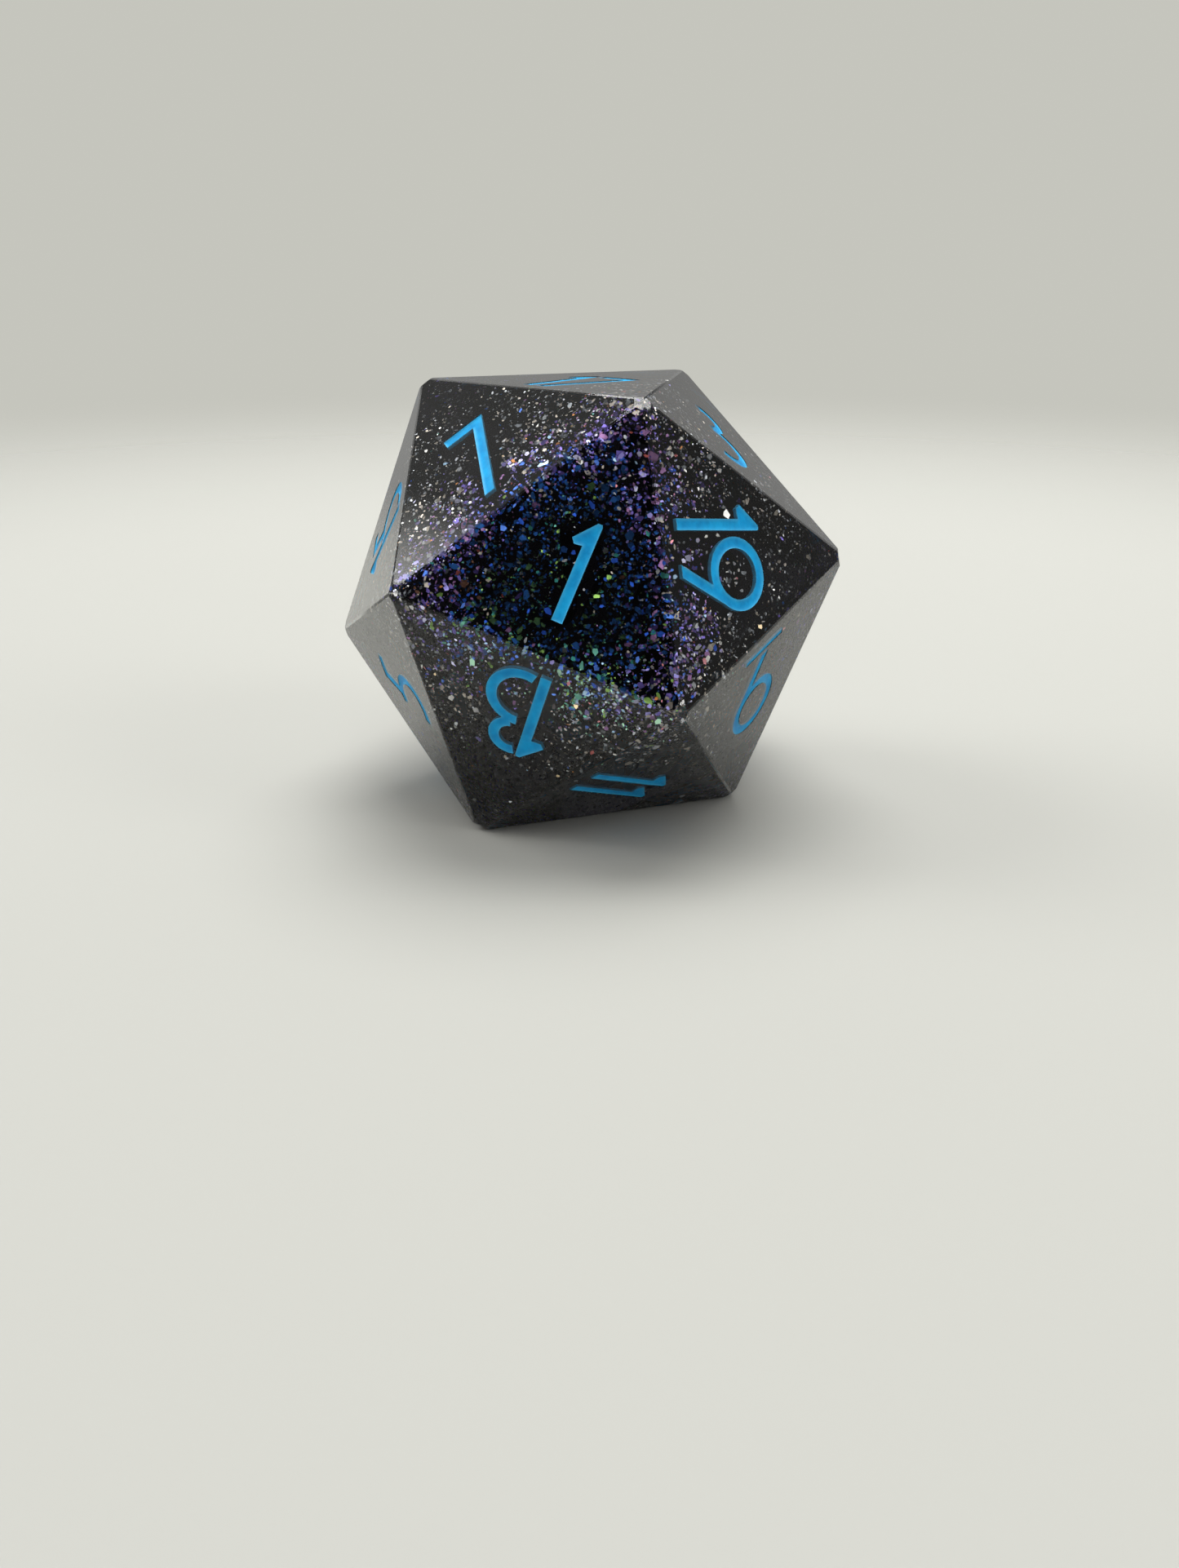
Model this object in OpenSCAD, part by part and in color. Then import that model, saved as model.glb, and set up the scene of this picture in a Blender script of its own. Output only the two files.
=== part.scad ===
// Twenty-sided die, cast in dark see-through resin full of glitter flakes, with inked numerals 1 to 20.
// It rests on face 4 with its origin at the middle of that face, +Z up. The top face, 17, has one edge
// along X, and that edge looks towards -Y. Opposite faces add up to 21. All sizes are in millimetres.

/* [Die] */
// Distance between two opposite faces
face_to_face = 22; // [16:0.5:40]
// Width of the small polished flat along every edge
edge_flat = 0.14; // [0.05:0.01:0.4]
// How far each corner is ground back from its sharp point
corner_cut = 0.3; // [0.1:0.05:0.8]

/* [Numerals] */
// Height of a numeral, as a share of a face's edge length
numeral_share = 0.37; // [0.2:0.01:0.38]
// Width of a numeral's stroke
stroke_w = 0.54; // [0.4:0.02:0.8]
// Gap between the two digits of a numeral
digit_gap = 0.3; // [0.2:0.05:0.6]
// Height of the lone 1, as a share of the other numerals
lone_one_share = 0.9; // [0.8:0.05:1]
// How far a two-digit numeral sits below the middle of its face
pair_drop = 0.4; // [0:0.1:0.6]
// Thickness of the line under the 6 and the 9
underline_w = 0.3; // [0.2:0.05:0.4]
// Depth of the engraving
recess_depth = 0.42; // [0.3:0.02:0.8]
// How far the ink's surface lies below the face
ink_below = 0.1; // [0.1:0.02:0.24]

/* [Flakes] */
// Rows of flakes along one edge of a face; a face holds the square of this number
flake_rows = 4; // [2:1:5]
// Longest reach of a flake from its middle
flake_reach = 0.42; // [0.2:0.02:0.5]
// Thickness of a flake
flake_t = 0.06; // [0.04:0.01:0.1]
// Depth of the shallowest flake's middle below the face
flake_top = 0.85; // [0.8:0.05:1.2]
// Depth range of the flakes below that
flake_spread = 1.4; // [0:0.1:2]
// Largest tilt of a flake from its face, in degrees
flake_tilt = 24; // [0:1:30]
// Seed for the flakes' places and outlines
flake_seed = 20; // [1:1:99]

/* [Hidden] */
$fn = 48;
golden = (1 + sqrt(5)) / 2;
// A regular icosahedron's edge, its corners' reach, and the rings that its corners lie on
edge = face_to_face / (golden * golden / sqrt(3));
inradius = face_to_face / 2;
corner_reach = edge * sqrt(golden * sqrt(5)) / 2;
mid_reach = edge * golden / 2;
inner_ring = edge / sqrt(3);
outer_ring = inner_ring * golden;
ring_step = sqrt(edge * edge - pow(outer_ring - inner_ring, 2) - outer_ring * inner_ring);
centre = [0, 0, inradius];

numeral_h = numeral_share * edge;
slab_w = 4 * face_to_face;
// Each digit's width as a share of its height, for 0 to 9
DIGIT_W = [0.54, 0.23, 0.5, 0.38, 0.56, 0.38, 0.66, 0.43, 0.6, 0.66];
// Outer radii of the digits' round strokes, as shares of the digit's height
loop_share = 0.33;
big_bowl_share = 0.32;
small_bowl_share = 0.21;
underline_share = 0.6;

// Corners, numbered so that corner 11 - i lies straight opposite corner i
function ring(reach, z, from, step) = [
    for (i = [0:2]) [reach * cos(from + i * step), reach * sin(from + i * step), z]
];
CORNERS = concat(
    ring(inner_ring, face_to_face, 210, 120),
    ring(outer_ring, face_to_face - ring_step, 270, 120),
    ring(outer_ring, ring_step, 330, -120),
    ring(inner_ring, 0, 270, -120)
);
last_corner = len(CORNERS) - 1;
opposite_sum = 21;
// Number, then the corner that the top of the numeral points at, then the face's other two corners
ODD_FACES = [
    [1, 1, 3, 6], [3, 2, 1, 4], [5, 7, 3, 9], [7, 0, 1, 3], [9, 11, 4, 6],
    [11, 11, 6, 9], [13, 9, 3, 6], [15, 7, 0, 3], [17, 2, 0, 1], [19, 4, 1, 6]
];
function opposite(f) = [opposite_sum - f[0], last_corner - f[1], last_corner - f[2], last_corner - f[3]];
FACES = concat(ODD_FACES, [for (f = ODD_FACES) opposite(f)]);
function face_of(number) = [for (f = FACES) if (f[0] == number) f][0];

// A face's own frame: X to the right of the numeral, Y up the numeral, Z out of the die
function unit(v) = v / norm(v);
function face_middle(f) = (CORNERS[f[1]] + CORNERS[f[2]] + CORNERS[f[3]]) / 3;
function face_frame(f) =
    let (mid = face_middle(f), z = unit(mid - centre), y = unit(CORNERS[f[1]] - mid), x = cross(y, z))
    [for (i = [0:2]) [x[i], y[i], z[i], mid[i]]];

// Flakes: one in each small triangle of a face, well clear of its neighbours. [face, share, share]
FLAKES = [
    for (f = FACES) for (i = [0:flake_rows - 1]) for (j = [0:flake_rows - 1]) for (half = [0, 1])
        if (i + j + half < flake_rows)
            [f, (i + (1 + half) / 3) / flake_rows, (j + (1 + half) / 3) / flake_rows]
];
flake_corners = 5;
flake_slimmest = 0.55;
cell_clear = edge / flake_rows / (2 * sqrt(3)) - flake_reach;
// Random shares of each flake: colour, depth, heading, drift and tilt, then each corner's reach
first_reach = 5;
luck_each = first_reach + flake_corners;
LUCK = rands(0, 1, len(FLAKES) * luck_each, flake_seed);
function luck(i, k) = LUCK[i * luck_each + k];
// Colours of foil, each with its share of all the flakes
GLITTER = [
    ["glitter_silver", "silver", 0.38],
    ["glitter_violet", "mediumpurple", 0.24],
    ["glitter_blue", "royalblue", 0.2],
    ["glitter_green", "yellowgreen", 0.1],
    ["glitter_copper", "coral", 0.08]
];
function share_before(g) = g == 0 ? 0 : GLITTER[g - 1][2] + share_before(g - 1);
function has_colour(i, g) = luck(i, 0) >= share_before(g) && luck(i, 0) < share_before(g + 1);

function ink_name(number) = str("ink_", number < 10 ? "0" : "", number);

// ---- Strokes that digits are drawn with, flat, in the face's frame ----

// A bar from one point to another, with horizontal ends
module slant(from, to) {
    reach = stroke_w / 2 * norm(to - from) / abs(to[1] - from[1]);
    polygon([from - [reach, 0], from + [reach, 0], to + [reach, 0], to - [reach, 0]]);
}

// Part of a ring, between two angles less than a full turn apart
module bow(middle, radius, from, to) {
    far = 2 * radius;
    step = (to - from) / 8;
    translate(middle) intersection() {
        difference() {
            circle(radius);
            circle(radius - stroke_w);
        }
        polygon(concat([[0, 0]], [for (a = [from:step:to + step / 2]) [far * cos(a), far * sin(a)]]));
    }
}

module loop(middle, radius) {
    translate(middle) difference() {
        circle(radius);
        circle(radius - stroke_w);
    }
}

// Angle at which a straight line from a point below meets the right side of a circle
function meeting_angle(point, middle, radius) =
    let (d = point - middle) atan2(d[1], d[0]) + acos(radius / norm(d));
function on_circle(middle, radius, angle) = middle + radius * [cos(angle), sin(angle)];

// ---- Digits: each is h high about y = 0, and starts at x = 0 ----

module digit_0(h) {
    w = DIGIT_W[0] * h;
    r = w / 2;
    straight = h - w;
    bow([r, straight / 2], r, 0, 180);
    bow([r, -straight / 2], r, 180, 360);
    for (x = [0, w - stroke_w]) translate([x, -straight / 2]) square([stroke_w, straight]);
}

module digit_1(h) {
    w = DIGIT_W[1] * h;
    stem = w - stroke_w;
    polygon([
        [stem, -h / 2],
        [w, -h / 2],
        [w, h / 2 - 0.2 * stroke_w],
        [w - 0.1 * stroke_w, h / 2],
        [w - 0.45 * stroke_w, h / 2],
        [0, 0.29 * h],
        [0.3 * stem, 0.24 * h],
        [stem, 0.25 * h]
    ]);
}

module digit_2(h) {
    w = DIGIT_W[2] * h;
    r = w / 2;
    middle = [r, h / 2 - r];
    foot = [0.75 * stroke_w, stroke_w / 2 - h / 2];
    centreline = r - 0.55 * stroke_w;
    meets = meeting_angle(foot, middle, centreline);
    bow(middle, r, meets - 2, 165);
    slant(foot, on_circle(middle, centreline, meets));
    translate([0, -h / 2]) square([w, stroke_w]);
}

module digit_3(h) {
    big = big_bowl_share * h;
    small = small_bowl_share * h;
    left = DIGIT_W[3] * h - big;
    bow([left, big - h / 2], big, -105, 96);
    bow([left - 0.02 * h, h / 2 - small], small, -76, 112);
}

module digit_4(h) {
    w = DIGIT_W[4] * h;
    stem = w - 2.2 * stroke_w;
    bar_y = -0.26 * h;
    translate([stem, -h / 2]) square([stroke_w, h]);
    translate([0, bar_y]) square([w, stroke_w]);
    slant([0.7 * stroke_w, bar_y + stroke_w / 2], [stem + 0.35 * stroke_w, h / 2]);
}

module digit_5(h) {
    w = DIGIT_W[5] * h;
    big = big_bowl_share * h;
    left = w - big;
    bow([left, big - h / 2], big, -107, 108);
    slant([0.8 * stroke_w, 0.06 * h], [0.24 * w + stroke_w / 2, h / 2]);
    translate([0.24 * w, h / 2 - stroke_w]) square([0.68 * w, stroke_w]);
}

module digit_6(h) {
    w = DIGIT_W[6] * h;
    translate([w, 0]) rotate(180) digit_9(h);
}

module digit_7(h) {
    w = DIGIT_W[7] * h;
    translate([0, h / 2 - stroke_w]) square([w - 0.3 * stroke_w, stroke_w]);
    slant([0.6 * stroke_w, -h / 2], [w - 0.55 * stroke_w, h / 2]);
}

module digit_8(h) {
    w = DIGIT_W[8] * h;
    low = w / 2;
    high = (h - w + stroke_w) / 2;
    loop([low, low - h / 2], low);
    loop([low, h / 2 - high], high);
}

module digit_9(h) {
    r = loop_share * h;
    middle = [r, h / 2 - r];
    foot = [0.9 * r, -h / 2];
    centreline = r - 0.55 * stroke_w;
    loop(middle, r);
    slant(foot, on_circle(middle, centreline, meeting_angle(foot, middle, centreline)));
}

module digit(d, h) {
    if (d == 0) digit_0(h);
    if (d == 1) digit_1(h);
    if (d == 2) digit_2(h);
    if (d == 3) digit_3(h);
    if (d == 4) digit_4(h);
    if (d == 5) digit_5(h);
    if (d == 6) digit_6(h);
    if (d == 7) digit_7(h);
    if (d == 8) digit_8(h);
    if (d == 9) digit_9(h);
}

// A face's whole numeral, centred, with a line under the two that could be read upside down
module numeral(number) {
    tens = floor(number / 10);
    ones = number % 10;
    h = number == 1 ? lone_one_share * numeral_h : numeral_h;
    tens_w = tens > 0 ? DIGIT_W[tens] * h + digit_gap : 0;
    total_w = tens_w + DIGIT_W[ones] * h;
    translate([-total_w / 2, tens > 0 ? -pair_drop : 0]) {
        if (tens > 0) digit(tens, h);
        translate([tens_w, 0]) digit(ones, h);
    }
    if (number == 6 || number == 9) {
        translate([-underline_share * h / 2, -h / 2 - 2 * underline_w])
            square([underline_share * h, underline_w]);
    }
}

// A slice of a face's numeral, between two depths below the face
module numeral_slice(number, top, bottom) {
    multmatrix(face_frame(face_of(number))) translate([0, 0, -bottom])
        linear_extrude(bottom - top) numeral(number);
}

// ---- Flakes ----

module flake(i) {
    f = FLAKES[i][0];
    mid = face_middle(f);
    to_frame = face_frame(f);
    spot = CORNERS[f[1]] * FLAKES[i][1] + CORNERS[f[2]] * FLAKES[i][2]
        + CORNERS[f[3]] * (1 - FLAKES[i][1] - FLAKES[i][2]) - mid;
    across = [for (k = [0, 1]) spot * [for (row = to_frame) row[k]]];
    depth = flake_top + flake_spread * luck(i, 1);
    closer = 1 - depth / inradius;
    heading = 360 * luck(i, 2);
    drift = cell_clear * luck(i, 3);
    place = closer * (across + drift * [cos(heading), sin(heading)]);
    outline = [
        for (k = [0:flake_corners - 1])
            let (share = flake_slimmest + (1 - flake_slimmest) * luck(i, first_reach + k))
            flake_reach * closer * share * [cos(360 * k / flake_corners), sin(360 * k / flake_corners)]
    ];
    multmatrix(to_frame) translate([place[0], place[1], -depth])
        rotate([flake_tilt * luck(i, 4), 0, heading]) linear_extrude(flake_t) polygon(outline);
}

// ---- Nodes ----

module blank() {
    intersection() {
        translate(centre) sphere(corner_reach - corner_cut);
        intersection_for (f = ODD_FACES) multmatrix(face_frame(f))
            translate([-slab_w / 2, -slab_w / 2, -face_to_face]) cube([slab_w, slab_w, face_to_face]);
        edge_flats();
    }
}

// Half of the edges, each with its opposite one: the slab between the two has the flats as its sides
EDGES = [
    for (i = [0:last_corner]) for (j = [i + 1:last_corner])
        if (i + j < last_corner && norm(CORNERS[i] - CORNERS[j]) < 1.01 * edge) [i, j]
];
// The flat's width fixes how far it is cut below the sharp edge
flat_reach = mid_reach - edge_flat / 2 / tan(acos(-sqrt(5) / 3) / 2);
module edge_flats() {
    intersection_for (e = EDGES) {
        out = unit((CORNERS[e[0]] + CORNERS[e[1]]) / 2 - centre);
        along = unit(CORNERS[e[1]] - CORNERS[e[0]]);
        side = cross(out, along);
        multmatrix([for (i = [0:2]) [along[i], side[i], out[i], centre[i]]])
            cube([slab_w, slab_w, 2 * flat_reach], center = true);
    }
}

module resin_body() {
    color([0.04, 0.04, 0.05]) difference() {
        blank();
        for (n = [1:20]) numeral_slice(n, -recess_depth, recess_depth);
        for (i = [0:len(FLAKES) - 1]) flake(i);
    }
}

module ink(number) {
    color([0.08, 0.55, 0.82]) numeral_slice(number, ink_below, recess_depth);
}

module glitter(g) {
    color(GLITTER[g][1]) for (i = [0:len(FLAKES) - 1]) if (has_colour(i, g)) flake(i);
}

resin_body();
for (n = [1:20]) ink(n);
for (g = [0:len(GLITTER) - 1]) glitter(g);
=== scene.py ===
"""A twenty-sided die of dark see-through resin, full of glitter flakes, with inked numerals."""

import math

import bmesh
import bpy
import numpy as np
from mathutils import Matrix, Vector, geometry, noise

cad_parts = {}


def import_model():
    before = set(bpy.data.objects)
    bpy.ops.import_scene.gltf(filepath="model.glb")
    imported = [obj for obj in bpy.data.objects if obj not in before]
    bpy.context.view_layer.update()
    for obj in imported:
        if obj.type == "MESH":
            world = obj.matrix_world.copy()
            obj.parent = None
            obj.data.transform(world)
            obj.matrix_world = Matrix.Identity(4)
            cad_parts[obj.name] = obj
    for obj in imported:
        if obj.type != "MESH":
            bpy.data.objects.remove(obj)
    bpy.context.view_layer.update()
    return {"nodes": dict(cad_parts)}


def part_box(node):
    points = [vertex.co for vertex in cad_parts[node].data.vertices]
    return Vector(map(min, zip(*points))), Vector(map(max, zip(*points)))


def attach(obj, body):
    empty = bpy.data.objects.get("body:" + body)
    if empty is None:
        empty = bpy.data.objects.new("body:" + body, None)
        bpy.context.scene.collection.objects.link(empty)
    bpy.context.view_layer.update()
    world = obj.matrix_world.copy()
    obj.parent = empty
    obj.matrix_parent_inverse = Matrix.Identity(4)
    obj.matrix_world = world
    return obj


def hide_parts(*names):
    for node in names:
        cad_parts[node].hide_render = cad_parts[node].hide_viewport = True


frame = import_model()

MM = 0.001
WELD = 1e-3 * MM
nodes = frame["nodes"]
RNG = np.random.default_rng(20)

# ---------------------------------------------------------------- the die's own geometry, from the frame
FACES = 20
GOLDEN = (1 + math.sqrt(5)) / 2
LOW, HIGH = (np.array(v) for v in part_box("resin_body"))
CENTRE = (LOW + HIGH) / 2
INRADIUS = (HIGH - LOW)[2] / 2
EDGE = 2 * INRADIUS * math.sqrt(3) / GOLDEN**2
# The corners are ground to a sphere of this radius
CORNER_REACH = max(np.linalg.norm(np.array(v.co) - CENTRE) for v in nodes["resin_body"].data.vertices)
# The cosine between two directions: above the first they are one face's, above the second two neighbours'
SAME_FACE = 0.99
NEIGHBOURS = 0.5
# The cosine between the four corners of a tetrahedron, seen from its middle
TETRAHEDRAL = -1 / 3
# Guards against division by nothing: the least squared length, and the least rise of a line
LEAST_SQUARE = 1e-18
LEAST_RISE = 1e-12


def unit(v):
    v = np.asarray(v, float)
    return v / np.linalg.norm(v)


def face_normals(mesh):
    """The body's twenty flat faces are the twenty directions that hold the most area."""
    area = {}
    for p in mesh.polygons:
        key = tuple(round(c, 2) for c in p.normal)
        total, held = area.get(key, (np.zeros(3), 0.0))
        area[key] = (total + np.array(p.normal) * p.area, held + p.area)
    largest = sorted(area.values(), key=lambda a: -a[1])
    found = []
    for total, _ in largest:
        n = unit(total)
        if all(np.dot(n, f) < SAME_FACE for f in found):
            found.append(n)
        if len(found) == FACES:
            break
    return np.array(found)


NORMALS = face_normals(nodes["resin_body"].data)


class Face:
    """One flat face: its frame, and the numeral engraved in it, which is read from its ink node."""

    def __init__(self, normal):
        self.z = normal
        side = next(n for n in NORMALS if NEIGHBOURS < np.dot(n, normal) < SAME_FACE)
        self.y = unit(side - np.dot(side, normal) * normal) * -1
        self.x = np.cross(self.y, self.z)
        self.middle = CENTRE + INRADIUS * normal
        turns = [math.radians(90 + 120 * k) for k in range(3)]
        reach = EDGE / math.sqrt(3)
        self.corners = [np.array([reach * math.cos(t), reach * math.sin(t)]) for t in turns]
        self.node = None
        self.loops = []
        self.ink_top = self.ink_bottom = 0.0

    def flat(self, points):
        d = np.asarray(points) - self.middle
        return np.stack([d @ self.x, d @ self.y], -1)

    def depth(self, points):
        return -((np.asarray(points) - self.middle) @ self.z)

    def place(self, flat, depth):
        flat = np.asarray(flat)
        depth = np.broadcast_to(depth, flat.shape[:-1])
        return (
            self.middle
            + flat[..., :1] * self.x
            + flat[..., 1:] * self.y
            - depth[..., None] * self.z
        )


def outlines(node, face):
    """The closed outlines of an ink node's outer surface, flat in the face's frame, and its two depths."""
    bm = bmesh.new()
    bm.from_mesh(node.data)
    bmesh.ops.remove_doubles(bm, verts=bm.verts, dist=WELD)
    z = Vector(face.z)
    depth = face.depth([v.co for v in bm.verts])
    top, bottom = float(depth.min()), float(depth.max())
    upper = [f for f in bm.faces if f.normal.dot(z) > SAME_FACE]
    inside = set(upper)
    following = {}
    for f in upper:
        for loop in f.loops:
            if not any(o in inside for o in loop.edge.link_faces if o is not f):
                following[loop.vert.index] = loop.link_loop_next.vert.index
    co = face.flat([v.co for v in bm.verts])
    bm.free()
    loops = []
    while following:
        start, at = next(iter(following.items()))
        path = [start]
        del following[start]
        while at != start:
            path.append(at)
            at = following.pop(at)
        loops.append(co[path])
    return loops, top, bottom


FACE_LIST = [Face(n) for n in NORMALS]
for name, node in nodes.items():
    if name.startswith("ink_"):
        low, high = (np.array(v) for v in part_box(name))
        towards = unit((low + high) / 2 - CENTRE)
        face = max(FACE_LIST, key=lambda f: np.dot(f.z, towards))
        face.node = name
        face.loops, face.ink_top, face.ink_bottom = outlines(node, face)


def out_of(number):
    """The direction that a numbered face looks in."""
    return next(f.z for f in FACE_LIST if f.node == f"ink_{number:02d}")


def edge_distance(points, loops):
    """Distance from each point to the nearest outline, and whether the point is inside the numeral."""
    a = np.concatenate(loops)
    b = np.concatenate([np.roll(p, -1, 0) for p in loops])
    d = b - a
    rel = points[:, None, :] - a[None]
    share = np.clip((rel * d).sum(-1) / np.maximum((d * d).sum(-1), LEAST_SQUARE), 0, 1)
    gap = np.linalg.norm(rel - share[..., None] * d, axis=-1).min(1)
    y = points[:, None, 1]
    crosses = (a[None, :, 1] > y) != (b[None, :, 1] > y)
    slope = np.where(np.abs(d[:, 1]) < LEAST_RISE, LEAST_RISE, d[:, 1])
    x_at = a[:, 0] + (y - a[:, 1]) * d[:, 0] / slope
    inside = (crosses & (points[:, None, 0] < x_at)).sum(1) % 2 == 1
    return gap, inside


def heading(azimuth, elevation):
    """A direction: azimuth 0 looks at the die's front, -Y, and 90 at its right side, +X."""
    az, el = math.radians(azimuth), math.radians(elevation)
    return math.sin(az) * math.cos(el), -math.cos(az) * math.cos(el), math.sin(el)


def placed(name, data):
    """An object in the scene for a mesh, a camera or a light."""
    ob = bpy.data.objects.new(name, data)
    bpy.context.scene.collection.objects.link(ob)
    return ob


def mesh_object(name, verts, faces, material):
    mesh = bpy.data.meshes.new(name)
    mesh.from_pydata([tuple(v) for v in verts], [], faces)
    mesh.validate()
    mesh.update()
    mesh.materials.append(material)
    return placed(name, mesh)


# ---------------------------------------------------------------- materials
RESIN_IOR = 1.5
RESIN_TINT = (0.05, 0.04, 0.12, 1)
RESIN_DENSITY = 0.33 / MM
# How far from the centre the wear of the corners begins, and where it is full
WEAR = (13.0 * MM, 13.7 * MM)
# A hairline is this much noise along its length for each unit across it
HAIRLINE_DRAW = 0.012
# The dried acrylic: its darker and brighter parts, and a painted highlight along its rim on the recess's walls
INK_DARK = (0.002, 0.23, 0.56, 1)
INK_BRIGHT = (0.006, 0.37, 0.76, 1)
INK_RIM_HIGHLIGHT = (0.07, 0.46, 0.77, 1)
RELIEF = 0.01 * MM


class Nodes:
    """Short calls for building a tree of shader nodes."""

    def __init__(self, tree):
        self.tree = tree

    def feed(self, value, socket):
        """Links an output to a socket, or gives the socket a fixed value."""
        if isinstance(value, bpy.types.NodeSocket):
            self.tree.links.new(value, socket)
        else:
            socket.default_value = value

    def add(self, kind, **values):
        """A new node: each value is one of its settings, or goes into its input of that name."""
        node = self.tree.nodes.new(kind)
        for key, value in values.items():
            if hasattr(node, key):
                setattr(node, key, value)
            else:
                self.feed(value, node.inputs[key.replace("_", " ")])
        return node

    def by_place(self, kind, *feeds, output=0, **values):
        """A new node whose inputs are fed by their order, and the output that is wanted from it."""
        node = self.add(kind, **values)
        for k, value in enumerate(feeds):
            self.feed(value, node.inputs[k])
        return node.outputs[output]

    def maths(self, operation, a, b):
        return self.by_place("ShaderNodeMath", a, b, operation=operation)

    def noise(self, coord, **values):
        return self.add("ShaderNodeTexNoise", Vector=coord, **values).outputs[0]

    def ramp(self, value, start, end, low=0.0, high=1.0, kind="LINEAR"):
        """Runs from low to high as the value goes from start to end."""
        limits = {"From_Min": start, "From_Max": end, "To_Min": low, "To_Max": high}
        node = self.add("ShaderNodeMapRange", interpolation_type=kind, Value=value, **limits)
        return node.outputs["Result"]


class Material(Nodes):
    """The tree of a new material, and its shader."""

    def __init__(self, name):
        self.material = bpy.data.materials.new(name)
        self.material.use_nodes = True
        super().__init__(self.material.node_tree)
        self.shader = self.tree.nodes["Principled BSDF"]

    def coord(self):
        return self.add("ShaderNodeTexCoord").outputs["Object"]

    def set(self, **values):
        for key, value in values.items():
            self.feed(value, self.shader.inputs[key.replace("_", " ")])

    def bump(self, height, strength):
        node = self.add("ShaderNodeBump", Strength=strength, Distance=RELIEF, Height=height)
        self.set(Normal=node.outputs["Normal"])


def hairlines(n, coord, turn, spacing, low, high):
    """Thin straight scratches: noise drawn out along one direction, and cut off low."""
    scale = (1 / spacing, HAIRLINE_DRAW / spacing, 1 / spacing)
    place = n.add("ShaderNodeMapping", Vector=coord, Rotation=turn, Scale=scale)
    return n.ramp(n.noise(place.outputs[0], Scale=1.0, Detail=1.0), low, high)


def resin_material():
    """Clear cast resin that swallows light, polished by hand: hairlines, haze and worn corners."""
    n = Material("resin_black_clear")
    n.set(Base_Color=(1, 1, 1, 1), IOR=RESIN_IOR, Transmission_Weight=1.0)
    absorb = n.add("ShaderNodeVolumeAbsorption", Color=RESIN_TINT, Density=RESIN_DENSITY)
    n.feed(absorb.outputs["Volume"], n.tree.nodes["Material Output"].inputs["Volume"])
    coord = n.coord()
    fine = hairlines(n, coord, turn=(0.4, 0.9, 0.2), spacing=0.035 * MM, low=0.66, high=0.76)
    cross = hairlines(n, coord, turn=(1.3, 0.2, 1.9), spacing=0.05 * MM, low=0.67, high=0.77)
    lines = n.maths("ADD", fine, cross)
    haze = n.noise(coord, Scale=0.35 / MM, Detail=4.0)
    cloud = n.ramp(haze, 0.35, 0.75, low=0.015, high=0.05)
    away = n.by_place("ShaderNodeVectorMath", coord, CENTRE, output="Value", operation="DISTANCE")
    worn = n.ramp(away, *WEAR, high=0.22)
    rough = n.maths("ADD", cloud, n.maths("MULTIPLY", lines, 0.05))
    n.set(Roughness=n.maths("ADD", rough, n.maths("MULTIPLY", worn, haze)))
    n.bump(lines, 0.02)
    return n.material


def ink_material():
    """Dried acrylic: mottled blue, with a painted highlight along its rim, where it climbs the walls of the
    recess.
    """
    n = Material("ink_cyan")
    coord = n.coord()
    mottle = n.noise(coord, Scale=1.1 / MM, Detail=5.0, Roughness=0.66)
    grain = n.noise(coord, Scale=9 / MM, Detail=3.0)
    colours = {"data_type": "RGBA", "A": INK_DARK, "B": INK_BRIGHT}
    shade = n.add("ShaderNodeMix", **colours, Factor=n.ramp(mottle, 0.35, 0.65)).outputs["Result"]
    rim_highlight = n.add("ShaderNodeAttribute", attribute_name="rim").outputs["Fac"]
    colour = n.add("ShaderNodeMix", data_type="RGBA", A=shade, B=INK_RIM_HIGHLIGHT, Factor=rim_highlight)
    n.set(Base_Color=colour.outputs["Result"], Specular_IOR_Level=0.13)
    n.set(Roughness=n.ramp(grain, 0.3, 0.7, low=0.32, high=0.5))
    n.bump(n.maths("ADD", grain, n.maths("MULTIPLY", mottle, 3.0)), 0.25)
    return n.material


def foil_material(name, colour, roughness):
    n = Material(name)
    n.set(Base_Color=(*colour, 1), Roughness=roughness, Metallic=1.0)
    return n.material


# ---------------------------------------------------------------- resin body
# A polygon whose cosine to every flat face is below this is part of a rounded corner or an edge flat
FLAT_COSINE = 0.9999
BODY_SHARP = math.radians(30)


def clear_body():
    """The casting without its flake pockets: the outer shell of the CAD body."""
    bm = bmesh.new()
    bm.from_mesh(nodes["resin_body"].data)
    bmesh.ops.remove_doubles(bm, verts=bm.verts, dist=WELD)
    left = set(bm.verts)
    islands = []
    while left:
        stack = [left.pop()]
        island = list(stack)
        while stack:
            v = stack.pop()
            for e in v.link_edges:
                o = e.other_vert(v)
                if o in left:
                    left.remove(o)
                    stack.append(o)
                    island.append(o)
        islands.append(island)
    shell = set(max(islands, key=lambda i: max((v.co - Vector(CENTRE)).length for v in i)))
    bmesh.ops.delete(bm, geom=[v for v in bm.verts if v not in shell], context="VERTS")
    bmesh.ops.recalc_face_normals(bm, faces=bm.faces)
    mesh = bpy.data.meshes.new("resin_casting")
    bm.to_mesh(mesh)
    bm.free()
    mesh.materials.append(resin_material())
    normals = np.array([p.normal for p in mesh.polygons])
    curved = (np.abs(normals @ NORMALS.T) < FLAT_COSINE).all(1)
    mesh.set_sharp_from_angle(angle=BODY_SHARP)
    mesh.polygons.foreach_set("use_smooth", curved.tolist())
    return placed("resin_casting", mesh)


# ---------------------------------------------------------------- ink
# How far the ink goes into the recess's walls and floor, so that no gap shows
INK_OVER = 0.006 * MM
# The longest side of a triangle in the ink's surface, and rings of points inside its outline, in mm
INK_STEP = 0.16 * MM
INK_RINGS = (0.03, 0.08, 0.15)
# No point lies closer to the outline than this
INK_MARGIN = 0.02 * MM
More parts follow.
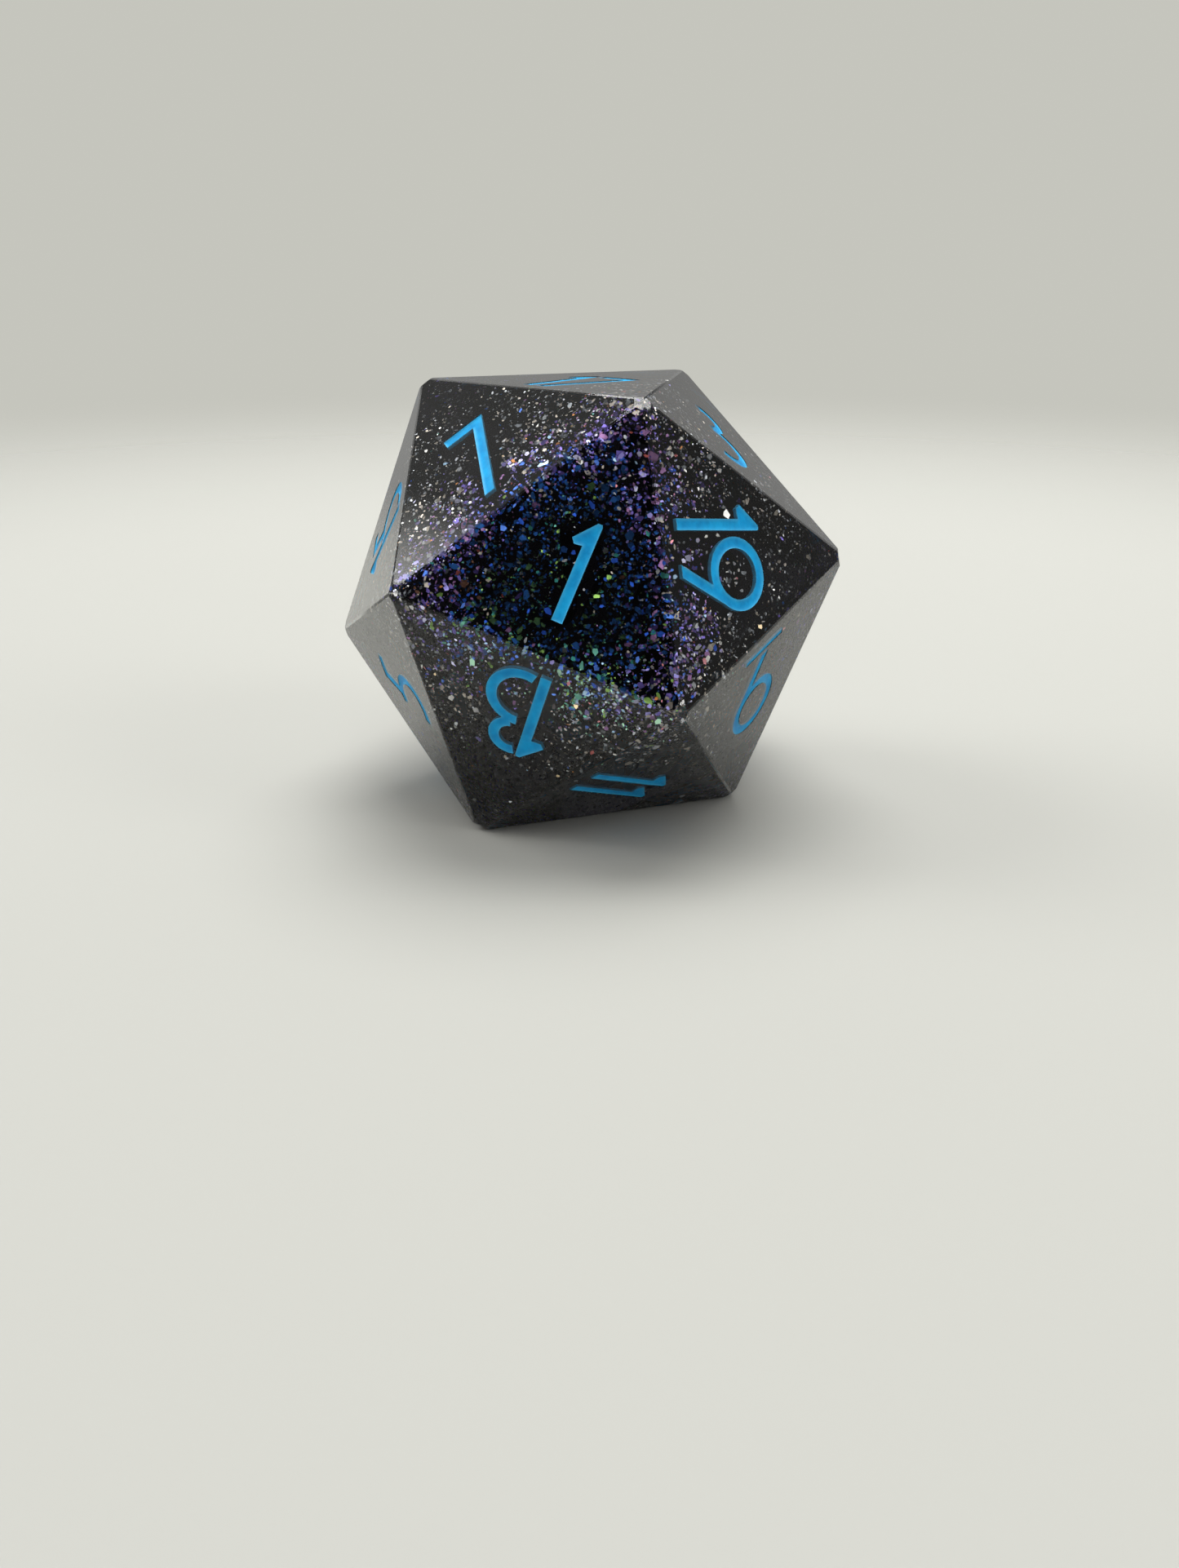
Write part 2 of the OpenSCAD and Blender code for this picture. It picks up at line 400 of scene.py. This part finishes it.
# How high the ink climbs the walls, and how fast its height and its painted rim highlight die away from them
MENISCUS_RISE = 0.065 * MM
MENISCUS_REACH = 0.09 * MM
RIM_HIGHLIGHT_REACH = 0.065 * MM
# The furthest that a sharp bend in an outline may move its point, as a share of the distance
LONGEST_STRETCH = 2
LEAST_COSINE = 0.3
INK_SHARP = math.radians(50)
TRIANGULATION_ERROR = 1e-6


def refined(loop, longest):
    out = []
    for a, b in zip(loop, np.roll(loop, -1, 0)):
        parts = max(1, math.ceil(np.linalg.norm(b - a) / longest))
        out += [a + (b - a) * k / parts for k in range(parts)]
    return np.array(out)


def pushed(loop, by):
    """The outline moved outwards (to its right) by a small distance."""
    before, after = np.roll(loop, 1, 0), np.roll(loop, -1, 0)
    d1 = (loop - before) / np.linalg.norm(loop - before, axis=1)[:, None]
    d2 = (after - loop) / np.linalg.norm(after - loop, axis=1)[:, None]
    n1 = np.stack([d1[:, 1], -d1[:, 0]], 1)
    n2 = np.stack([d2[:, 1], -d2[:, 0]], 1)
    m = n1 + n2
    m /= np.linalg.norm(m, axis=1)[:, None]
    stretch = np.clip(1 / np.maximum((m * n1).sum(1), LEAST_COSINE), 1, LONGEST_STRETCH)
    return loop + m * (by * stretch)[:, None]


def ink_surface(outer):
    """The ink's top as flat triangles, turned anticlockwise, and each point's distance to the outline."""
    loops = [refined(p, INK_STEP) for p in outer]
    rings = [pushed(p, -d * MM) for p in loops for d in INK_RINGS]
    low = np.concatenate(outer).min(0)
    high = np.concatenate(outer).max(0)
    gx, gy = np.meshgrid(np.arange(low[0], high[0], INK_STEP), np.arange(low[1], high[1], INK_STEP))
    inner = np.concatenate(rings + [np.stack([gx.ravel(), gy.ravel()], 1)])
    gap, inside = edge_distance(inner, outer)
    points = np.concatenate(loops + [inner[inside & (gap > INK_MARGIN)]])
    edges, at = [], 0
    for p in loops:
        edges += [(at + k, at + (k + 1) % len(p)) for k in range(len(p))]
        at += len(p)
    # The triangulation works in millimetres, because its error is an absolute one
    scale = 1 / MM
    flat = [Vector(p * scale) for p in points]
    out = geometry.delaunay_2d_cdt(flat, edges, [], 0, TRIANGULATION_ERROR)
    verts = np.array([tuple(v) for v in out[0]]) / scale
    tris = np.array([tuple(f) for f in out[2]])
    tris = tris[edge_distance(verts[tris].mean(1), outer)[1]]
    gap = edge_distance(verts, outer)[0]
    a, b, c = (verts[tris[:, k]] for k in range(3))
    turn = (b - a)[:, 0] * (c - a)[:, 1] - (b - a)[:, 1] * (c - a)[:, 0]
    tris = np.where((turn > 0)[:, None], tris, tris[:, ::-1])
    used, tris = np.unique(tris, return_inverse=True)
    return verts[used], tris.reshape(-1, 3), gap[used]


def fill_ink(face, material):
    """The dried ink: sunk in the middle, with a rim that climbs the recess's walls."""
    verts, tris, gap = ink_surface([pushed(p, INK_OVER) for p in face.loops])
    count = len(verts)
    rise = MENISCUS_RISE * np.exp(-gap / MENISCUS_REACH)
    top = face.place(verts, face.ink_top - rise)
    bottom = face.place(verts, face.ink_bottom + INK_OVER)
    faces = [tuple(t) for t in tris.tolist()]
    half = {(f[k], f[(k + 1) % 3]) for f in faces for k in range(3)}
    border = sorted(e for e in half if (e[1], e[0]) not in half)
    under = [tuple(count + k for k in reversed(f)) for f in faces]
    walls = [(b, a, count + a, count + b) for a, b in border]
    name = face.node.replace("ink_", "numeral_")
    ob = mesh_object(name, np.concatenate([top, bottom]), faces + under + walls, material)
    # A painted highlight along the ink's rim, fading inwards from the outline
    rim_highlight_share = np.concatenate([np.exp(-gap / RIM_HIGHLIGHT_REACH), np.ones(count)])
    rim = ob.data.attributes.new("rim", "FLOAT", "POINT")
    rim.data.foreach_set("value", rim_highlight_share.astype(np.float32))
    ob.data.set_sharp_from_angle(angle=INK_SHARP)
    return ob


# ---------------------------------------------------------------- glitter
# Each foil's tones, from the palest to the deepest; a flake's tone is partly random and partly painted light
# and shade
TONES = 5
FOILS = {
    "glitter_silver": [
        (1.0, 1.0, 0.97),
        (0.58, 0.61, 0.65),
        (0.55, 0.5, 0.43),
        (0.24, 0.26, 0.28),
        (0.1, 0.11, 0.12),
    ],
    "glitter_violet": [
        (0.75, 0.74, 1.0),
        (0.42, 0.38, 0.9),
        (0.24, 0.18, 0.65),
        (0.38, 0.2, 0.42),
        (0.07, 0.05, 0.2),
    ],
    "glitter_blue": [
        (0.5, 0.75, 1.0),
        (0.12, 0.28, 0.9),
        (0.03, 0.11, 0.6),
        (0.02, 0.09, 0.3),
        (0.01, 0.04, 0.12),
    ],
    "glitter_green": [
        (0.6, 1.0, 0.75),
        (0.2, 0.62, 0.48),
        (0.35, 0.62, 0.15),
        (0.04, 0.22, 0.2),
        (0.04, 0.09, 0.04),
    ],
    "glitter_copper": [
        (1.0, 0.8, 0.5),
        (0.95, 0.4, 0.45),
        (0.8, 0.35, 0.12),
        (0.4, 0.1, 0.09),
        (0.12, 0.06, 0.04),
    ],
}
FOIL_ROUGHNESS, ROUGHER_EACH_TONE = 0.32, 0.03

FLAKES_PER_FACE = 3600
# The shallowest flake's depth in mm, how much deeper the others reach, and how they crowd to the top
SHALLOWEST, DEPTH_SPAN, CROWDING = 0.04, 1.5, 1.6
# Flakes are few within the first distance of a numeral, and thin out over the second
NUMERAL_BARE, NUMERAL_THIN = 0.16 * MM, 0.9 * MM
FEWEST, THIN_POWER = 0.04, 0.8
# The bright side is round face 1: degrees by which its edge wavers, and reaches to the top and the right
BRIGHT_WAVER, BRIGHT_UPWARD, BRIGHT_RIGHTWARD = 8, 12, 14
WAVER_SIZE = 4 * MM
# The dark belt round it, where thinned flakes are partly painted shade on the die's lower side and partly
# sparser glitter: degrees where it sets in, and over how many, and where it has ended
BELT_START, BELT_END = (56, 16), (112, 12)
# Degrees from a patch's middle where the coloured foil ends, and over how many
PATCH_END = (34, 10)
# How much of the glitter is missing in the belt, partly as painted shade, and outside the patches
BELT_THINNING, OUTSIDE_THINNING = 0.87, 0.42
# Degrees from a patch's middle of its violet ring, and within which flakes lean towards that middle
RING_AT = 32
LEANING_WITHIN = 48
LEANING = 0.38
STEEPEST, STEEP_POWER = np.radians(20), 0.6

# The corners of a flake's outline, and its size in mm: the usual reach, the smallest and the largest
OUTLINE = 5
USUAL_REACH, LEAST_REACH, MOST_REACH = 0.09, 0.035, 0.3
# Every point of a flake stays this far inside the faces, and inside the sphere of the corners
FACE_MARGIN, CORNER_MARGIN = 0.03 * MM, 0.07 * MM
# A flake is moved in by more than it is over, because it moves at a slant to the face
MOVE_IN = 1.35
# At this depth a flake gets all of the painted depth shade
FULL_DEPTH_SHADE_AT = 1.6 * MM


def rise(x, start, length):
    """0 up to the start, and 1 from a length past it."""
    return np.clip((x - start) / length, 0, 1)


def fall(x, end, length):
    """1 up to a length before the end, and 0 past it."""
    return np.clip((end - x) / length, 0, 1)


def bell(x, at, width):
    return np.exp(-(((x - at) / width) ** 2))


def noise_at(spots, size, shift=(0, 0, 0)):
    return np.array([noise.noise(Vector((s - CENTRE) / size) + Vector(shift)) for s in spots])


def degrees_from(spots, directions):
    """The angle at the die's centre between each spot and the nearest of some directions."""
    out = spots - CENTRE
    out /= np.linalg.norm(out, axis=1)[:, None]
    return np.degrees(np.arccos(np.clip(out @ np.atleast_2d(directions).T, -1, 1))).min(1)


def colour_middles():
    """Four directions, as far apart as they can be, that the coloured foil gathers round: the middles of a
    painted holographic shimmer.
    """
    found = [out_of(1)]
    for f in FACE_LIST:
        if all(abs(np.dot(f.z, z) - TETRAHEDRAL) < 0.02 for z in found):
            found.append(f.z)
    return np.array(found)


MIDDLES = colour_middles()
# Teal and green foil is put along the edge between 1 and 13, as part of the painted holographic shimmer: a
# strong patch and a weaker one
TEALS = [
    unit(0.6 * out_of(1) + 1.2 * out_of(13) + 0.2 * out_of(11) + 0.5 * out_of(19)),
    unit(0.7 * out_of(1) + 1.2 * out_of(13) + 0.4 * out_of(7)),
]
TEAL_WIDTH = 12
WEAKER = 0.7
# The corner where 1, 7, 17, 3 and 19 meet
CREST = unit(sum(out_of(k) for k in (1, 7, 17, 3, 19)))


def teal_at(spots):
    strong, weak = (bell(degrees_from(spots, t), 0, TEAL_WIDTH) for t in TEALS)
    return np.maximum(strong, WEAKER * weak)


def share_kept(spot, gap, inside):
    """The share of the flakes that is there: few at a numeral, and fewer away from the patches; the thinning
    in the dark belt is partly painted shade.
    """
    room = rise(gap, NUMERAL_BARE, NUMERAL_THIN)
    chance = np.where(inside, 0.0, FEWEST + (1 - FEWEST) * room**THIN_POWER)
    far = degrees_from(spot, MIDDLES[0]) + BRIGHT_WAVER * noise_at(spot, WAVER_SIZE, (4, 4, 8))
    # The bright side reaches upwards, so the belt's thinning, partly painted shade, falls on the lower side
    far -= BRIGHT_UPWARD * np.clip(0.6 + 2 * (spot[:, 2] - CENTRE[2]) / INRADIUS, -1, 1)
    far -= BRIGHT_RIGHTWARD * rise(spot[:, 0] / INRADIUS, 0.3, 0.5)
    belt = rise(far, *BELT_START) * fall(far, *BELT_END)
    outside = rise(degrees_from(spot, MIDDLES), *PATCH_END)
    return chance * ((1 - BELT_THINNING * belt) * (1 - OUTSIDE_THINNING * outside))


def flakes():
    """Random flakes under every face: where they lie, where they look, and how deep they are."""
    places, normals, depths = [], [], []
    for face in FACE_LIST:
        count = FLAKES_PER_FACE
        flat = RNG.dirichlet([1, 1, 1], count) @ np.array(face.corners)
        depth = (SHALLOWEST + DEPTH_SPAN * RNG.random(count) ** CROWDING) * MM
        keep_roll = RNG.random(count)
        tilt_roll = RNG.random((count, 2))
        spot = face.place(flat * (1 - depth / INRADIUS)[:, None], depth)
        keep = keep_roll < share_kept(spot, *edge_distance(flat, face.loops))
        turn = 2 * math.pi * tilt_roll[:, 0]
        lean = STEEPEST * tilt_roll[:, 1] ** STEEP_POWER
        near = MIDDLES[np.argmax((spot - CENTRE) @ MIDDLES.T, 1)]
        pull = LEANING * (degrees_from(spot, MIDDLES) < LEANING_WITHIN)[:, None]
        base = (1 - pull) * face.z + pull * near
        base /= np.linalg.norm(base, axis=1)[:, None]
        normal = (
            np.cos(lean)[:, None] * base
            + (np.sin(lean) * np.cos(turn))[:, None] * face.x
            + (np.sin(lean) * np.sin(turn))[:, None] * face.y
        )
        places.append(spot[keep])
        normals.append(normal[keep])
        depths.append(depth[keep])
    return np.concatenate(places), np.concatenate(normals), np.concatenate(depths)


def flake_points(spots, normals, away):
    """Each flake's irregular outline, and the point behind it."""
    count = len(spots)
    spin = RNG.random(count) * 2 * math.pi
    size = USUAL_REACH * (1 - 0.28 * rise(away, 26, 24) - 0.12 * fall(away, 24, 8))
    reach = np.clip(size * np.exp(0.5 * RNG.standard_normal(count)), LEAST_REACH, MOST_REACH) * MM
    aspect = 1 / (1 + 1.1 * RNG.random(count))
    radii = 0.6 + 0.4 * RNG.random((count, OUTLINE))
    helper = np.where(np.abs(normals[:, 2:]) < 0.9, [[0, 0, 1.0]], [[1.0, 0, 0]])
    u = np.cross(helper, normals)
    u /= np.linalg.norm(u, axis=1)[:, None]
    v = np.cross(normals, u)
    a = np.cos(spin)[:, None] * u + np.sin(spin)[:, None] * v
    b = np.cross(normals, a)
    angles = np.arange(OUTLINE) * 2 * math.pi / OUTLINE
    angles = angles + 0.7 * (RNG.random((count, OUTLINE)) - 0.5)
    ring = (
        spots[:, None]
        + (reach[:, None] * radii * np.cos(angles))[..., None] * a[:, None]
        + (reach[:, None] * aspect[:, None] * radii * np.sin(angles))[..., None] * b[:, None]
    )
    keel = (0.004 * MM + 0.02 * reach)[:, None] * normals
    verts = np.concatenate([ring, (spots - keel)[:, None]], 1)
    # Anything that would poke through a face, an edge flat or a corner is moved inwards
    heights = ((verts - CENTRE) @ NORMALS.T - INRADIUS).max((1, 2))
    past = np.linalg.norm(verts - CENTRE, axis=2).max(1) - CORNER_REACH
    over = np.maximum(np.maximum(heights + FACE_MARGIN, past + CORNER_MARGIN), 0)
    verts -= (over * MOVE_IN)[:, None, None] * np.array([unit(p) for p in spots - CENTRE])[:, None]
    return verts


def flake_kinds(spots, away, roll):
    """Which foil each flake is: bands of colour round a few middles, and silver between them; the foils are
    the glitter's own colours, and their bands are a painted holographic shimmer.
    """
    drift = noise_at(spots, 3.2 * MM)
    clump = noise_at(spots, 0.7 * MM, (7, 3, 1))
    spark = noise_at(spots, 0.9 * MM, (2, 9, 5))
    teal = teal_at(spots)
    r = away + 10 * drift + 16 * clump
    ring = bell(away + 6 * drift + 8 * clump, RING_AT, 7.5)
    silver = (0.28 + 2.6 * rise(away + 8 * drift, RING_AT, 10)) * (1 - 0.9 * teal)
    violet = (2.4 * ring + 0.05) * (1 - 0.85 * teal)
    blue = 1.5 * bell(r, 16, 11) + 0.04 + 2.2 * teal * (clump <= 0.1)
    green = 0.9 * bell(r, 0, 9) + 4.5 * teal * (clump > -0.1) + 1.2 * rise(spark, 0.42, 1) + 0.02
    copper = 0.25 * bell(r, 38, 5) + 1.2 * rise(-spark, 0.45, 1) + 0.008
    share = np.stack([silver, violet, blue, green, copper], 1)
    share = np.cumsum(share / share.sum(1)[:, None], 1)
    return (roll[:, None] > share[:, :-1]).sum(1)


def flake_tones(spots, depths, away, roll):
    """How dark each flake is, from 0: a random tone, with painted shade where it lies deeper and near the
    middle of a patch, and painted highlights on the violet ring and the teal patches.
    """
    # Painted shade near the middle of each patch, and a painted highlight on its violet ring
    shift = 0.1 * fall(away, 22, 8) - 0.14 * bell(away, RING_AT, 7)
    # A painted highlight over the teal patches
    shift -= 0.3 * teal_at(spots)
    # Painted shade: the foil is darker round the crest, and again on the part of face 1 that is far from it
    from_crest = degrees_from(spots, CREST)
    shift += 0.25 * bell(from_crest, 0, 13)
    nearest = NORMALS[np.argmax((spots - CENTRE) @ NORMALS.T, 1)]
    under_one = nearest @ out_of(1) > SAME_FACE
    shift += 0.3 * under_one * rise(from_crest, 32, 18)
    # A random tone, with painted shade towards the middle of a patch
    dark = roll ** (1 - 0.5 * fall(away, 28, 10))
    # Painted shade that grows with depth, on top of the resin's own absorption
    painted_depth_shade = np.clip(depths / FULL_DEPTH_SHADE_AT, 0, 1)
    level = TONES * (0.05 + 0.8 * dark + 0.36 * painted_depth_shade + shift)
    return np.clip(level, 0, TONES - 0.01).astype(int)


def flake_mesh(name, verts, tones):
    """One foil's flakes: each is a flat outline towards the face, and a shallow point behind it."""
    corners = list(range(OUTLINE))
    for k in range(OUTLINE):
        corners += [(k + 1) % OUTLINE, k, OUTLINE]
    sizes = np.array([OUTLINE] + [3] * OUTLINE)
    count = len(verts)
    loops = (np.array(corners)[None] + (np.arange(count) * (OUTLINE + 1))[:, None]).ravel()
    totals = np.tile(sizes, count)
    mesh = bpy.data.meshes.new(name.replace("glitter", "flakes"))
    mesh.vertices.add(count * (OUTLINE + 1))
    mesh.vertices.foreach_set("co", verts.astype(np.float32).ravel())
    mesh.loops.add(len(loops))
    mesh.loops.foreach_set("vertex_index", loops)
    mesh.polygons.add(len(totals))
    mesh.polygons.foreach_set("loop_start", np.cumsum(totals) - totals)
    mesh.polygons.foreach_set("material_index", np.repeat(tones, len(sizes)))
    mesh.update(calc_edges=True)
    mesh.shade_flat()
    for t, colour in enumerate(FOILS[name]):
        roughness = FOIL_ROUGHNESS + ROUGHER_EACH_TONE * t
        mesh.materials.append(foil_material(f"{name}_{t}", colour, roughness))
    return placed(mesh.name, mesh)


def build_glitter():
    spots, normals, depths = flakes()
    count = len(spots)
    away = degrees_from(spots, MIDDLES)
    verts = flake_points(spots, normals, away)
    kinds = flake_kinds(spots, away, RNG.random(count))
    tones = flake_tones(spots, depths, away, RNG.random(count))
    return [(flake_mesh(name, verts[kinds == g], tones[kinds == g]), name) for g, name in enumerate(FOILS)]


# ---------------------------------------------------------------- camera
# The camera's direction from the die, and its place from the die's centre: back, right and up, in edges
CAMERA_HEADING = (40.458, 21.468)
CAMERA_PLACE = (5.199, 0.023, -0.696)
SENSOR = 36
FOCAL_LENGTH, IMAGE_HEIGHT = 1738, 1922


def camera():
    az = math.radians(CAMERA_HEADING[0])
    back = np.array(heading(*CAMERA_HEADING))
    right = np.array([math.cos(az), math.sin(az), 0])
    up = np.cross(back, right)
    behind, aside, above = CAMERA_PLACE
    spot = CENTRE + EDGE * (behind * back + aside * right + above * up)
    data = bpy.data.cameras.new("camera")
    data.sensor_width = SENSOR
    data.lens = SENSOR * FOCAL_LENGTH / IMAGE_HEIGHT
    data.clip_start = 1 * MM
    data.clip_end = 20
    ob = placed("camera", data)
    turn = Matrix([right, up, back]).transposed().to_4x4()
    ob.matrix_world = Matrix.Translation(Vector(spot)) @ turn
    bpy.context.scene.camera = ob


# ---------------------------------------------------------------- stage
BACKGROUND = (0.56, 0.56, 0.51, 1)
LIGHT_COLOUR = (1, 1, 0.97)
# The room's light, and how much of it is missing on the camera's side
ROOM_LEVEL, FRONT_SHADE = 0.46, 0.37
FRONT = (40, 5, 40, 105)
# Lit panels and dark places: azimuth, elevation, the angle each is full within, the angle it ends at, strength
PANELS = [
    (-61, 36.5, 12, 18, 5.2),
    (42, 58, 8, 18, 3.8),
    (105, 32, 6, 15, 4.5),
    (25, 2, 6, 15, 4.5),
]
DARKS = [
    (128, 8, 8, 30, 0.35),
    (220, 8, 8, 25, 0.22),
    (33, 25, 9, 20, 0.7),
]

PAPER = (0.43, 0.43, 0.408, 1)
FLOOR_HALF = 0.6
FLOOR_GAP = 0.02 * MM
# The distances from the middle of the floor between which it fades out
FLOOR_FADE = (0.07, 0.21)

LAMP_SIZE, LAMP_POWER = 0.32, 1.52
LAMP_AZIMUTH, LAMP_ASIDE, LAMP_HEIGHT = 208, 0.11, 0.35


def world():
    """Soft studio light all round, with lit panels that the faces mirror, and a plain background."""
    studio = bpy.data.worlds.new("studio")
    bpy.context.scene.world = studio
    studio.use_nodes = True
    n = Nodes(studio.node_tree)
    n.tree.nodes.clear()
    coord = n.add("ShaderNodeTexCoord").outputs["Generated"]

    def lobe(azimuth, elevation, inner, outer):
        """1 within the inner angle of a direction, and 0 past the outer."""
        towards = unit(heading(azimuth, elevation))
        kind = {"output": "Value", "operation": "DOT_PRODUCT"}
        cosine = n.by_place("ShaderNodeVectorMath", coord, towards, **kind)
        limits = (math.cos(math.radians(outer)), math.cos(math.radians(inner)))
        return n.ramp(cosine, *limits, kind="SMOOTHSTEP")

    level = n.maths("SUBTRACT", ROOM_LEVEL, n.maths("MULTIPLY", lobe(*FRONT), FRONT_SHADE))
    for *place, strength in PANELS:
        level = n.maths("ADD", level, n.maths("MULTIPLY", lobe(*place), strength))
    for *place, strength in DARKS:
        left = n.maths("SUBTRACT", 1.0, n.maths("MULTIPLY", lobe(*place), strength))
        level = n.maths("MULTIPLY", level, left)
    lit = n.add("ShaderNodeBackground", Color=(*LIGHT_COLOUR, 1), Strength=level).outputs[0]
    seen = n.add("ShaderNodeBackground", Color=BACKGROUND).outputs[0]
    direct = n.add("ShaderNodeLightPath").outputs["Is Camera Ray"]
    n.add("ShaderNodeOutputWorld", Surface=n.by_place("ShaderNodeMixShader", direct, lit, seen))


def floor():
    """A pale floor that fades out into the background well behind the die."""
    n = Material("paper")
    away = n.by_place("ShaderNodeVectorMath", n.coord(), output="Value", operation="LENGTH")
    n.set(Base_Color=PAPER, Roughness=0.9)
    n.set(Alpha=n.ramp(away, *FLOOR_FADE, low=1.0, high=0.0, kind="SMOOTHSTEP"))
    signs = [(-1, -1), (1, -1), (1, 1), (-1, 1)]
    corners = [(x * FLOOR_HALF, y * FLOOR_HALF, -FLOOR_GAP) for x, y in signs]
    ob = mesh_object("floor", corners, [(0, 1, 2, 3)], n.material)


def lamp():
    """A soft panel above and behind the die, which lights the paper there."""
    data = bpy.data.lights.new("lamp", "AREA")
    data.shape = "DISK"
    data.size = LAMP_SIZE
    data.energy = LAMP_POWER
    data.color = LIGHT_COLOUR
    ob = placed("lamp", data)
    ob.location = Vector(heading(LAMP_AZIMUTH, 0)) * LAMP_ASIDE + Vector((0, 0, LAMP_HEIGHT))
    ob.visible_camera = False


bpy.context.scene.view_settings.view_transform = "Standard"
camera()
world()
lamp()
floor()

body = clear_body()
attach(body, "root")
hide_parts("resin_body")

ink = ink_material()
for face in FACE_LIST:
    piece = fill_ink(face, ink)
    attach(piece, "root")
    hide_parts(face.node)

for piece, name in build_glitter():
    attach(piece, "root")
    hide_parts(name)
